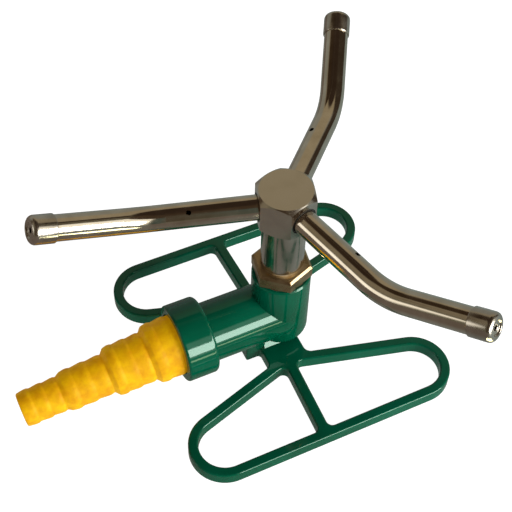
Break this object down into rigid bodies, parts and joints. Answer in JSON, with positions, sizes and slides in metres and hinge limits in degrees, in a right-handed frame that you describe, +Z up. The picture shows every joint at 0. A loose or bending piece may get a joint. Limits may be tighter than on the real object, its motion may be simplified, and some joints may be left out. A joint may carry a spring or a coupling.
{
  "type": "rotary lawn sprinkler",
  "caption": "Rotary lawn sprinkler: bent tube arms on a hexagonal head that spins on a gland above a moulded elbow stand with looped wings and a stepped hose tail.",
  "frame": {"origin": "on the ground plane, directly under the rotor's axis", "axes": "+Z up along the rotor's axis; -X along the inlet pipe towards the hose; the two wings lie at -Y and +Y"},
  "size_m": [0.1809, 0.169, 0.1069],
  "materials": {
    "stand_plastic": "glossy bottle-green moulding",
    "soft_pvc": "soft satin yellow",
    "washer_rubber": "matt",
    "seal_rubber": "matt",
    "nut_plate": "bright plate over turned brass",
    "gasket_fibre": "matt red fibre",
    "thrust_nylon": "natural nylon",
    "head_plate": "satin bright plate over turned brass",
    "stem_brass": "turned",
    "arm_plate": "bright plate over drawn tube",
    "cap_plate": "bright plate over pressed brass"
  },
  "bodies": {
    "base": {"base_frame": "stand_plastic", "hose_adapter": "soft_pvc", "inlet_washer": "washer_rubber", "gland_nut": "nut_plate", "nut_gasket": "gasket_fibre", "stem_o_ring": "seal_rubber", "lower_thrust_washer": "thrust_nylon", "upper_thrust_washer": "thrust_nylon"},
    "rotor": {"rotor_head": "head_plate", "rotor_stem": "stem_brass", "stem_joint_washer": "gasket_fibre", "arm_tube_1": "arm_plate", "arm_seal_1": "seal_rubber", "nozzle_cap_1": "cap_plate", "arm_tube_2": "arm_plate", "arm_seal_2": "seal_rubber", "nozzle_cap_2": "cap_plate", "arm_tube_3": "arm_plate", "arm_seal_3": "seal_rubber", "nozzle_cap_3": "cap_plate"}
  },
  "joints": [
    {"name": "rotor_spin", "type": "hinge", "parent": "base", "child": "rotor", "pos_m": [0, 0, 0.0876], "axis": [0, 0, 1], "continuous": true}
  ]
}
